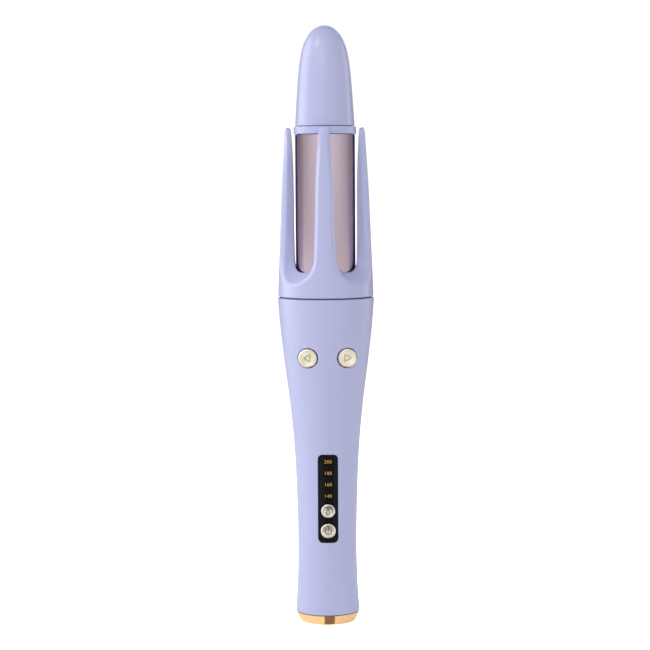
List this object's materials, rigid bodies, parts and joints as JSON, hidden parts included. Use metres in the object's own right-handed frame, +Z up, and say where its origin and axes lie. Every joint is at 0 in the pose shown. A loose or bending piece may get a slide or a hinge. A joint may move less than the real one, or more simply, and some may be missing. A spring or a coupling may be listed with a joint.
{
  "type": "automatic hair curler",
  "caption": "Upright cordless hair curler: waisted handle with buttons and display, powered crown of prongs turning round a heated barrel, bullet-shaped cool tip.",
  "frame": {"origin": "centre of the flat foot that the curler stands on", "axes": "+Z up along the barrel, -Y towards the user, from the buttons and display, +X to the user's right"},
  "size_m": [0.052, 0.052, 0.3214],
  "materials": {
    "lavender_plastic": "satin moulded plastic with a very fine grain",
    "rose_metal": "rose anodised, finely brushed around the barrel",
    "gold_ring": "polished gold plating",
    "champagne_metal": "spun champagne-coloured metal",
    "black_window": "smoked, high gloss",
    "dark_plastic": "matte heat-resistant moulding",
    "nylon": "natural moulded nylon",
    "steel": "plain machined steel",
    "aluminium": "as cast",
    "board": "solder mask",
    "cell_wrap": "shrink-wrapped cell",
    "ceramic": "fired ceramic",
    "amber_light": "diffusing light pipe",
    "lead_red": "silicone insulation",
    "lead_black": "silicone insulation"
  },
  "bodies": {
    "handle": {"front_housing": "lavender_plastic", "rear_housing": "lavender_plastic", "base_ring": "gold_ring", "base_cap": "lavender_plastic", "base_screw_1": "steel", "base_screw_2": "steel", "charge_port": "steel", "charge_board": "board", "battery_cell_lower": "cell_wrap", "battery_cell_upper": "cell_wrap", "cell_spacer": "dark_plastic", "display_window": "black_window", "display_board": "board", "indicator_light_1": "amber_light", "indicator_light_2": "amber_light", "indicator_light_3": "amber_light", "indicator_light_4": "amber_light", "temp_switch": "dark_plastic", "power_switch": "dark_plastic", "left_switch": "dark_plastic", "right_switch": "dark_plastic", "button_board": "board", "drive_frame": "nylon", "frame_screw_1": "steel", "frame_screw_2": "steel", "frame_screw_3": "steel", "frame_screw_4": "steel", "gearbox_case": "steel", "motor_can": "steel", "centre_tube": "steel", "crown_bush": "nylon", "thrust_washer": "steel", "barrel_base": "dark_plastic", "barrel": "rose_metal", "heater_core_front": "aluminium", "heater_core_rear": "aluminium", "ptc_heater": "ceramic", "thermistor": "ceramic", "thermal_fuse": "ceramic", "tip_collar": "lavender_plastic", "collar_screw_front": "steel", "collar_screw_rear": "steel", "tip_cap": "lavender_plastic", "heater_lead_left": "lead_black", "heater_lead_right": "lead_red", "supply_lead_left": "lead_black", "supply_lead_right": "lead_red"},
    "crown": {"crown": "lavender_plastic", "crown_gear": "nylon", "crown_screw_1": "steel", "crown_screw_2": "steel", "crown_screw_3": "steel"},
    "pinion": {"pinion": "nylon", "motor_shaft": "steel"},
    "left_button": {"left_button": "champagne_metal"},
    "right_button": {"right_button": "champagne_metal"},
    "temp_button": {"temp_button": "champagne_metal"},
    "power_button": {"power_button": "champagne_metal"}
  },
  "joints": [
    {"name": "crown_spin", "type": "hinge", "parent": "handle", "child": "crown", "pos_m": [0, 0, 0.18], "axis": [0, 0, 1], "continuous": true},
    {"name": "pinion_spin", "type": "hinge", "parent": "handle", "child": "pinion", "pos_m": [0, 0.01435, 0.173], "axis": [0, 0, 1], "continuous": true},
    {"name": "left_button_press", "type": "slide", "parent": "handle", "child": "left_button", "axis": [0, 1, 0], "range_m": [0, 0.001], "stiffness_N_per_m": 400},
    {"name": "right_button_press", "type": "slide", "parent": "handle", "child": "right_button", "axis": [0, 1, 0], "range_m": [0, 0.001], "stiffness_N_per_m": 400},
    {"name": "temp_button_press", "type": "slide", "parent": "handle", "child": "temp_button", "axis": [0, 1, 0], "range_m": [0, 0.0006], "stiffness_N_per_m": 400},
    {"name": "power_button_press", "type": "slide", "parent": "handle", "child": "power_button", "axis": [0, 1, 0], "range_m": [0, 0.0006], "stiffness_N_per_m": 400}
  ],
  "couplings": [
    {"joint": "pinion_spin", "follows": "crown_spin", "ratio": -3.75}
  ]
}
